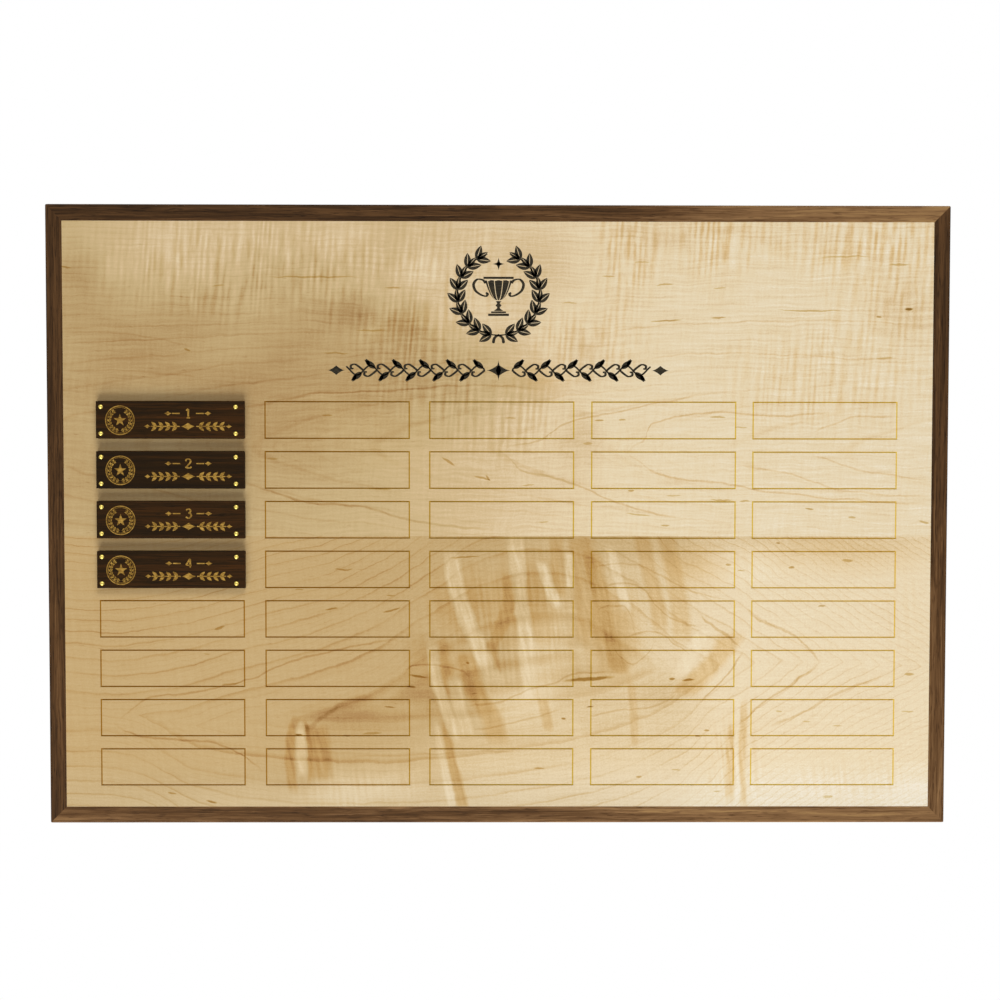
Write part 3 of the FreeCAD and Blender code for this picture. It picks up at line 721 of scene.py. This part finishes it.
# Emblem
# The mark at the head of the panel is engraved with a laser and filled with black lacquer, sanded flush.
# It is a laurel wreath round a two-handled cup, and each mark stands a hair above the wood.
mark_rise = 0.04
mark_sink = 0.02
emblem_middle = (-0.1, 149.7)
section_across = np.array([-1.0, -0.82, 0.82, 1.0, 0.82, -0.82])
section_out = np.array([0.0, mark_rise, mark_rise, 0.0, -mark_sink, -mark_sink])
wreath_radius = 27.6
wreath_opening = 15.0
# a handle's points, out from the cup's middle and up
cup_handle = [
    (8.6, 7.2), (10.6, 9.4), (14.4, 9.8), (16.8, 6.6), (15.6, 2.4), (12.0, -0.4), (8.6, -1.4), (7.4, 0.0),
    (8.6, 1.0),
]
black_tones = [(0.0, "18150c"), (0.5, "252116"), (1.0, "3a3324")]


def capped_rings(rings, poles=None):
    """Points, quads and triangles of a closed shape: rings in a row, from pole to pole or back round."""
    count, steps = rings.shape[:2]
    number = np.arange(count * steps).reshape(count, steps)
    ahead = np.roll(number, -1, 1)
    if poles is None:
        quads = np.stack([number, ahead, np.roll(ahead, -1, 0), np.roll(number, -1, 0)], -1)
        return rings.reshape(-1, 3), quads.reshape(-1, 4), np.empty((0, 3), int)
    quads = np.stack([number[:-1], ahead[:-1], ahead[1:], number[1:]], -1)
    first, last = np.full((2, steps), count * steps) + [[0], [1]]
    foot_fan = np.stack([first, ahead[0], number[0]], -1)
    head_fan = np.stack([last, number[-1], ahead[-1]], -1)
    return np.vstack([rings.reshape(-1, 3), poles]), quads.reshape(-1, 4), np.vstack([foot_fan, head_fan])


def joined_mesh(name, shapes):
    """One mesh of closed shapes, each its points, quads and triangles, with every face turned outwards."""
    starts = np.cumsum([0] + [len(points) for points, quads, fans in shapes])
    points = np.vstack([shape[0] for shape in shapes])
    quads = np.vstack([shape[1] + start for shape, start in zip(shapes, starts)])
    fans = np.vstack([shape[2] + start for shape, start in zip(shapes, starts)])
    mesh = bpy.data.meshes.new(name)
    mesh.from_pydata(points, [], quads.tolist() + fans.tolist())
    shell = bmesh.new()
    shell.from_mesh(mesh)
    bmesh.ops.recalc_face_normals(shell, faces=shell.faces)
    shell.to_mesh(mesh)
    shell.free()
    return mesh


def placed(shapes, middle, face):
    """Flat shapes, drawn in mm as right, out and up, set on a face at a place from the plaque's middle."""
    shift = np.array([middle[0], face, middle[1]]) + [plaque_middle.x / mm, 0, plaque_middle.z / mm]
    return [((points * [1, -1, 1] + shift) * mm, quads, fans) for points, quads, fans in shapes]


def curve_through(points, steps=8):
    """A smooth line through given points: between two, a cubic that follows its neighbours."""
    points = np.array(points, float)
    padded = np.vstack([2 * points[0] - points[1], points, 2 * points[-1] - points[-2]])[:, None]
    p0, p1, p2, p3 = padded[:-3], padded[1:-2], padded[2:-1], padded[3:]
    t = np.linspace(0, 1, steps, endpoint=False)[None, :, None]
    bend, twist = 2 * p0 - 5 * p1 + 4 * p2 - p3, 3 * p1 - p0 - 3 * p2 + p3
    line = 2 * p1 + (p2 - p0) * t + bend * t ** 2 + twist * t ** 3
    return np.vstack([line.reshape(-1, 2) / 2, points[-1]])


def stroke(path, half_width, closed=False):
    """A flat mark: rings of six points across a path, as wide as its half width there, low at the sides.

    The path's first and last points are the poles that close it, unless it runs round and meets itself.
    """
    path = np.asarray(path, float)
    width = np.broadcast_to(half_width, len(path))
    ahead = np.roll(path, -1, 0) - np.roll(path, 1, 0) if closed else np.gradient(path, axis=0)
    ahead = ahead / np.linalg.norm(ahead, axis=1, keepdims=True)
    side = np.stack([ahead[:, 1], -ahead[:, 0]], -1)
    flat = path[:, None] + side[:, None] * (width[:, None] * section_across)[..., None]
    rings = np.stack([flat[..., 0], np.broadcast_to(section_out, flat.shape[:2]), flat[..., 1]], -1)
    if closed:
        return capped_rings(rings)
    poles = np.stack([path[[0, -1], 0], (0, 0), path[[0, -1], 1]], -1)
    return capped_rings(rings[1:-1], poles)


def pen(path, thin, thick):
    """A stroke of a broad pen: thin where it runs level and thick where it runs upright."""
    path = np.asarray(path, float)
    ahead = np.gradient(path, axis=0)
    upright = np.abs(ahead[:, 1]) / np.linalg.norm(ahead, axis=1)
    return stroke(path, thin + (thick - thin) * upright)


def straight(start, end, half_width):
    """A straight stroke with ends cut square."""
    share = np.array([0, 0.001, 0.5, 0.999, 1])[:, None]
    return stroke(np.array(start) + share * (np.array(end) - np.array(start)), half_width)


def circle(radius, half_width, steps=96):
    """A round line that meets itself."""
    angle = np.linspace(0, 2 * np.pi, steps, endpoint=False)
    return stroke(radius * np.stack([np.cos(angle), np.sin(angle)], -1), half_width, closed=True)


def lozenge(middle, half_length, half_height, upright=False):
    """A pointed mark: its half height falls as a power of 1.6 of the share left to the point."""
    share = np.linspace(-1, 1, 21)
    path = np.outer(share * half_length, (0, 1) if upright else (1, 0)) + middle
    return stroke(path, half_height * (1 - np.abs(share)) ** 1.6 + 0.01)


def heading_to(side, rise):
    """A heading in radians that rises so many degrees, to the right for side 1 and to the left for -1."""
    return math.radians(rise) if side > 0 else math.pi - math.radians(rise)


def leaf(base, heading, length, width, midrib):
    """A leaf whose half width swells as a sine from base to tip, in two halves beside a bare midrib."""
    share = np.linspace(0, 1, 15)
    swell = width / 2 * np.clip(np.sin(np.pi * share ** 0.8), 0, 1) ** 0.9
    forward = np.array([math.cos(heading), math.sin(heading)])
    aside = np.array([-forward[1], forward[0]])
    spine = np.array(base) + np.outer(share * length, forward)
    if not midrib:
        return [stroke(spine, swell)]
    middle_line = (swell + midrib * np.sin(np.pi * share)) / 2
    return [stroke(spine + np.outer(side * middle_line, aside), swell / 2) for side in (-1, 1)]


def laurel(radius, opening, nodes, length, width, midrib):
    """Two laurel sprays that rise from the foot along a circle and leave an opening at the top, in degrees.

    At each node one leaf leans out, one leans in and one follows the stem.
    """
    shapes = []
    lean = math.radians(40)
    start, end = math.radians(10), math.pi - math.radians(opening)
    for side in (-1, 1):
        turn = np.linspace(-start, end, 48)
        shapes.append(stroke(radius * np.stack([side * np.sin(turn), -np.cos(turn)], -1), width * 0.1))
        for step in range(nodes):
            at = start + (end - start) * step / nodes
            base = (side * radius * math.sin(at), -radius * math.cos(at))
            heading = math.atan2(math.sin(at), side * math.cos(at))
            shapes += leaf(base, heading + lean, length, width, midrib)
            shapes += leaf(base, heading - lean, length, width, midrib)
            shapes += leaf(base, heading, length * 0.92, width * 0.8, midrib)
    return shapes


def fluted_cup(flute_gap):
    """A two-handled cup from the side: its bowl widens as a power of the height, cut by bare flutes."""
    bowl_radius, bowl_foot, bowl_height = 9.4, -4.2, 13.6
    rise = np.linspace(0, 1, 25)
    radius = bowl_radius * (rise + 0.004) ** 0.42
    height = bowl_foot + bowl_height * rise
    shapes = []
    edges = np.sin(np.radians([-90, -54, -18, 18, 54, 90]))
    for left, right in zip(edges, edges[1:]):
        path = np.stack([radius * (left + right) / 2, height], -1)
        shapes.append(stroke(path, np.maximum(radius * (right - left) / 2 - flute_gap, 0.05)))
    stem = curve_through([(0, -11.4), (0, -10.8), (0, -9.4), (0, -8.2), (0, -7.0), (0, -5.8), (0, -4.6)], 4)
    knop_heights = [-11.4, -9.6, -8.8, -7.6, -6.4, -5.6, -4.6]
    knop_half_widths = [3.4, 1.0, 0.9, 2.1, 0.9, 1.2, 2.4]
    shapes.append(stroke(stem, np.interp(stem[:, 1], knop_heights, knop_half_widths)))
    for reach, height, half_width in ((5.0, -12.2, 0.6), (7.0, -13.9, 0.8), (10.2, 10.9, 0.75)):
        shapes.append(straight((-reach, height), (reach, height), half_width))
    for side in (-1, 1):
        handle = [(side * reach, height) for reach, height in cup_handle]
        shapes.append(pen(curve_through(handle), 0.45, 0.95))
    return shapes


def filled_engraving(name, tones, metallic, roughness):
    """Engraved marks filled flush: a dense fill, with a faint mottle where the cut wood shows through."""
    material, tree = new_material(name)
    mottle = soft_noise(tree, plaque_point(tree), (2.5, 1, 0.8), 3.0)
    share = add(tree, "MapRange", {0: mottle, 1: 0.3, 2: 0.7})
    face = add(tree, "ValToRGB", {"Fac": share}, stops=tones)
    worn = add(tree, "MapRange", {0: mottle, 1: 0.3, 2: 0.7, 3: roughness - 0.08, 4: roughness + 0.1})
    return surfaced(material, face, worn, (mottle, 0.2, 0.1), 0.15, metallic)


black_fill = filled_engraving("black_lacquer_fill", black_tones, metallic=0.0, roughness=0.55)
emblem = laurel(wreath_radius, wreath_opening, nodes=9, length=9.6, width=4.4, midrib=0.36)
emblem += fluted_cup(flute_gap=0.24)
emblem += [lozenge((0, 20.2), 4.2, 1.5), lozenge((0, 20.2), 4.4, 1.5, upright=True)]
for side in (-1, 1):
    ribbon = curve_through([(side * -0.6, -27.2), (side * 2.6, -29.4), (side * 3.6, -33.2)])
    emblem.append(pen(ribbon, 0.5, 1.0))
place_piece(joined_mesh("emblem_fill", placed(emblem, emblem_middle, board_front)), black_fill)

# Heading ornament
# A running leaf scroll under the emblem is engraved and filled in the same black lacquer.
# It unrolls to both sides of a centre star and ends in a smaller star.
scroll_middle = (-0.1, 98.4)
scroll_start = 9.0
scroll_end = 103.0
scroll_wave = 18.2
scroll_swing = 3.2
# a curl's points, from its crest along and outwards
scroll_curl = [(-4.6, 0.4), (-1.6, -2.2), (1.4, -4.0), (4.0, -3.2), (3.8, -1.2), (2.2, -1.2)]


def leaf_scroll():
    """A stem that swings as a sine, with two leaves and a curl at each crest, mirrored about the middle."""
    shapes = []
    along = np.linspace(scroll_start, scroll_end, 161)
    swing = scroll_swing * np.sin(2 * np.pi * (along - scroll_start) / scroll_wave)
    crests = np.arange(scroll_start + scroll_wave / 4, scroll_end, scroll_wave / 2)
    for side in (-1, 1):
        shapes.append(stroke(np.stack([side * along, swing], -1), 0.6))
        for step, crest in enumerate(crests):
            up = 1 if step % 2 == 0 else -1
            for reach, lean, length, width in ((-3.4, 38, 9.4, 3.9), (0.6, 62, 5.2, 2.8)):
                at = crest + reach
                height = scroll_swing * math.sin(2 * math.pi * (at - scroll_start) / scroll_wave)
                shapes += leaf((side * at, height), heading_to(side, up * lean), length, width, 0.0)
            curl = [(side * (crest + reach), up * height) for reach, height in scroll_curl]
            shapes.append(pen(curve_through(curl), 0.5, 0.85))
        shapes.append(lozenge((side * (scroll_end + 6.4), 0), 5.8, 3.2))
    return shapes + [lozenge((0, 0), 8.0, 4.0), lozenge((0, 0), 7.0, 2.2, upright=True)]


scroll = placed(leaf_scroll(), scroll_middle, board_front)
place_piece(joined_mesh("heading_scroll_fill", scroll), black_fill)

# Name plates
# Four plates of darker walnut, planed thin, stained and satin lacquered, with eased front edges.
# They fill the first places of the left column, and a little red shows in their grain.
plate_tones = [
    (0.00, "150d04"), (0.30, "231606"), (0.55, "38220c"), (0.80, "502e10"), (1.00, "6f431a"),
]
plate_count = 4
plate_shades = (0.40, 0.22, 0.34, 0.40)
for number, shade in enumerate(plate_shades, 1):
    ends = [(-300, shade - 0.03), (-230, shade), (-190, shade + 0.06)]
    stained = walnut(f"stained_walnut_plate_{number}", ends, False, plate_tones, shine=0.5)
    finish_node(f"name_plate_{number}", stained)

# Plate marks
# Each plate is engraved and filled with gold paint: a medallion at its left end with a small wreath and
# a star, then a number between dashes over a ruled ornament.
gold_tones = [(0.0, "6c4f1d"), (0.5, "94722f"), (1.0, "b38f43")]
medallion_inset = 16.2
medallion_drop = 0.35
medallion_radius = 9.6
number_inset = 61.9
number_rise = 4.3
rule_drop = 4.4
rule_leaf_start = 7.4
rule_leaf_spacing = 4.6
# each number as strokes of a pen, in mm from its middle
numerals = {
    1: [
        [(-1.3, 1.9), (-0.4, 2.5), (0.25, 3.1)], [(0.25, 3.1), (0.25, 0.0), (0.25, -3.0)],
        [(-1.1, -3.0), (1.6, -3.0)],
    ],
    2: [
        [(-1.7, 1.5), (-1.2, 2.7), (0.1, 3.1), (1.5, 2.3), (1.4, 0.8), (-0.2, -1.2), (-1.9, -3.0)],
        [(-1.9, -2.9), (2.0, -2.9)], [(1.6, -2.9), (2.0, -2.0)],
    ],
    3: [
        [(-1.6, 2.0), (-0.8, 2.9), (0.4, 3.0), (1.4, 2.0), (0.9, 0.8), (-0.3, 0.3)],
        [(-0.3, 0.3), (1.0, 0.1), (1.8, -1.2), (1.0, -2.7), (-0.5, -3.1), (-1.8, -2.2)],
    ],
    4: [
        [(0.8, 3.1), (-0.6, 0.9), (-2.0, -1.2)], [(-2.0, -1.2), (2.1, -1.2)],
        [(0.9, 3.1), (0.9, 0.0), (0.9, -3.0)],
    ],
}


def star(radius):
    """A five-pointed star of five kites, each as wide as the star is between two of its points."""
    shapes = []
    share = np.linspace(0, 1, 20)
    half_width = radius * np.interp(share, [0, 0.309, 1], [0, 0.2245, 0]) + 0.01
    for turn in np.radians(90 + 72 * np.arange(5)):
        shapes.append(stroke(np.outer(share * radius, [np.cos(turn), np.sin(turn)]), half_width))
    return shapes


def plate_marks(number):
    """The marks of one plate: its medallion, its number between two dashes, and a rule with leaves."""
    medallion = [circle(medallion_radius, 0.32), circle(medallion_radius - 1.0, 0.12)]
    medallion += laurel(7.0, opening=24.0, nodes=8, length=2.1, width=1.1, midrib=0.0) + star(4.3)
    upper_line = [pen(curve_through(points), 0.34, 0.6) for points in numerals[number]]
    rule = [lozenge((0, 0), 5.0, 2.4)]
    for side in (-1, 1):
        upper_line.append(straight((side * 5.4, 0), (side * 10.6, 0), 0.36))
        upper_line.append(lozenge((side * 13.4, 0), 2.6, 1.4))
        rule.append(straight((side * 5.6, 0), (side * 25.0, 0), 0.34))
        rule.append(lozenge((side * 27.4, 0), 2.3, 1.3))
        for step in range(4):
            base = (side * (rule_leaf_start + rule_leaf_spacing * step), 0)
            for up in (-1, 1):
                rule += leaf(base, heading_to(side, up * 42), 4.6, 2.0, 0.0)

    plate_low, plate_high = (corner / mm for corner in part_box(f"name_plate_{number}"))
    left = plate_low.x - plaque_middle.x / mm
    height = (plate_low.z + plate_high.z) / 2 - plaque_middle.z / mm
    return (
        placed(medallion, (left + medallion_inset, height - medallion_drop), plate_low.y)
        + placed(upper_line, (left + number_inset, height + number_rise), plate_low.y)
        + placed(rule, (left + number_inset, height - rule_drop), plate_low.y)
    )


gold_fill = filled_engraving("gold_paint_fill", gold_tones, metallic=0.35, roughness=0.5)
for number in range(1, plate_count + 1):
    place_piece(joined_mesh(f"plate_marks_{number}", plate_marks(number)), gold_fill)

# Brass pins
# Sixteen escutcheon pins of solid brass, turned with a low domed head, a fine rim and a pointed shank.
# One is tapped in near each corner of a plate, through the walnut and into the maple.
pin_head_radius = 1.65
pin_head_height = 1.1
pin_shank_radius = 0.8
pin_reach = 12.7
pin_point = 1.8
pin_rim = 0.12
pin_steps = 28
brass_tones = [(0.0, "b59a44"), (0.5, "d0b85e"), (1.0, "e6d58c")]


def turned_shape(profile, steps):
    """A closed shape turned about Y: a profile's radius and height at each angle, from pole to pole."""
    radius, height = np.array(profile, float).T
    angle = np.linspace(0, 2 * np.pi, steps, endpoint=False)
    rings = np.stack([
        np.outer(radius[1:-1], np.cos(angle)),
        np.broadcast_to(height[1:-1, None], (len(radius) - 2, steps)),
        np.outer(radius[1:-1], np.sin(angle)),
    ], -1)
    return capped_rings(rings, [[0, height[0], 0], [0, height[-1], 0]])


def corner_places(low, high, inset):
    """The places, across and up, of four round pieces in the corners of a box, each in by its radius."""
    return [(x, z) for x in (low.x + inset, high.x - inset) for z in (low.z + inset, high.z - inset)]


def pin_profile():
    """A dome as part of a circle, a rounded rim, then the straight shank and its point."""
    ball = (pin_head_radius ** 2 + pin_head_height ** 2) / (2 * pin_head_height)
    swing = np.linspace(0, math.asin((pin_head_radius - pin_rim) / ball), 10)
    dome = np.stack([ball * np.sin(swing), ball * np.cos(swing) - ball + pin_head_height], -1)
    rest = [
        (pin_head_radius, pin_rim), (pin_head_radius - 0.02, 0), (pin_shank_radius, 0),
        (pin_shank_radius, pin_point - pin_reach), (0, -pin_reach),
    ]
    return np.vstack([dome, rest])


def polished_brass():
    """Solid brass, polished by handling: pale gold, with a slight haze of tarnish."""
    material, tree = new_material("polished_brass")
    haze = add(tree, "TexNoise", {"Vector": plaque_point(tree), "Scale": 1 / 0.9, "Detail": 3.0})
    face = add(tree, "ValToRGB", {"Fac": haze}, stops=brass_tones)
    gloss = add(tree, "MapRange", {0: haze, 1: 0.3, 2: 0.7, 3: 0.2, 4: 0.34})
    return surfaced(material, face, gloss, (haze, 0.15, 0.05), metallic=1.0)


brass = polished_brass()
points, quads, fans = turned_shape(pin_profile(), pin_steps)
for number in range(1, plate_count + 1):
    node_name = f"plate_pins_{number}"
    low, high = (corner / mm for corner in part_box(node_name))
    plate_face = low.y + pin_head_height
    pin_mesh = joined_mesh(f"brass_pins_{number}", [
        ((points * [1, -1, 1] + [x, plate_face, z]) * mm, quads, fans)
        for x, z in corner_places(low, high, pin_head_radius)
    ])
    pin_mesh.shade_smooth()
    piece = place_piece(pin_mesh, brass)
    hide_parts(node_name)

# Keyhole hangers and their screws
# Two pressed steel hangers lie flush in the back, each held by two countersunk screws with cross recesses.
# Both are bright zinc plated: blue-grey, with the faint crystals and rub marks of barrel plating.
zinc_tones = [(0.0, "8b9094"), (0.5, "a7acb0"), (1.0, "c3c7c9")]


def zinc_plated_steel(name, grain, roughness):
    """Zinc-plated steel: a bluish metal whose soft crystals are a few mm wide and whose gloss is uneven."""
    material, tree = new_material(name)
    point = plaque_point(tree)
    crystal = add(tree, "TexVoronoi", {"Vector": point, "Scale": 1 / grain, "Randomness": 1.0}, out="Color")
    crystal = add(tree, "SeparateColor", {0: crystal})
    rub = soft_noise(tree, point, (0.5, 0.5, 6), 2.0)
    tone = add(tree, "Math", {0: crystal, 1: 0.35, 2: rub}, operation="MULTIPLY_ADD")
    face = add(tree, "ValToRGB", {"Fac": tone}, stops=zinc_tones)
    gloss = add(tree, "MapRange", {0: rub, 1: 0.3, 2: 0.7, 3: roughness - 0.08, 4: roughness + 0.12})
    return surfaced(material, face, gloss, (rub, 0.12, 0.05), metallic=1.0)


hanger_steel = zinc_plated_steel("zinc_plated_hanger_steel", grain=3.0, roughness=0.36)
screw_steel = zinc_plated_steel("zinc_plated_screw_steel", grain=1.2, roughness=0.3)
for side in ("left", "right"):
    finish_node(f"keyhole_hanger_{side}", hanger_steel)
    finish_node(f"hanger_screws_{side}", screw_steel)

# Wall bumpers
# Four self-adhesive bumpers of grey rubber near the corners of the back keep it off the wall.
# Each is moulded with a rounded rim and a slightly dished face, matt from the mould.
bumper_radius = 6.35
bumper_height = 3.0
bumper_rounding = 1.0
bumper_dish = 0.25
bumper_steps = 48
rubber_tones = [(0.0, "4b4a48"), (0.5, "5c5b58"), (1.0, "6f6e6a")]


def bumper_profile():
    """A dished face, a rim as a quarter circle, straight sides, and the flat back that is stuck down."""
    swing = np.linspace(0, math.pi / 2, 8)
    inner = bumper_radius - bumper_rounding
    share = np.linspace(0, 1, 8)
    face = np.stack([share * inner, bumper_height - bumper_dish * np.cos(share * math.pi / 2) ** 2], -1)
    rim_height = bumper_height - bumper_rounding * (1 - np.cos(swing))
    rim = np.stack([inner + bumper_rounding * np.sin(swing), rim_height], -1)
    foot = [(bumper_radius, bumper_height / 2), (bumper_radius, 0), (bumper_radius / 2, 0), (0, 0)]
    return np.vstack([face, rim[1:], foot])


def moulded_rubber():
    """Soft moulded rubber: dull grey with a faint mottle, and the fine texture of the mould."""
    material, tree = new_material("moulded_rubber")
    point = plaque_point(tree)
    mottle = add(tree, "TexNoise", {"Vector": point, "Scale": 1 / 3, "Detail": 4.0})
    face = add(tree, "ValToRGB", {"Fac": mottle}, stops=rubber_tones)
    texture = add(tree, "TexNoise", {"Vector": point, "Scale": 1 / 0.3, "Detail": 1.0})
    return surfaced(material, face, 0.7, (texture, 0.3, 0.05), specular=0.3)


low, high = (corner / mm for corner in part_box("wall_bumpers"))
points, quads, fans = turned_shape(bumper_profile(), bumper_steps)
bumper_mesh = joined_mesh("rubber_wall_bumpers", [
    ((points + [x, low.y, z]) * mm, quads, fans) for x, z in corner_places(low, high, bumper_radius)
])
bumper_mesh.shade_smooth()
piece = place_piece(bumper_mesh, moulded_rubber())
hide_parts("wall_bumpers")
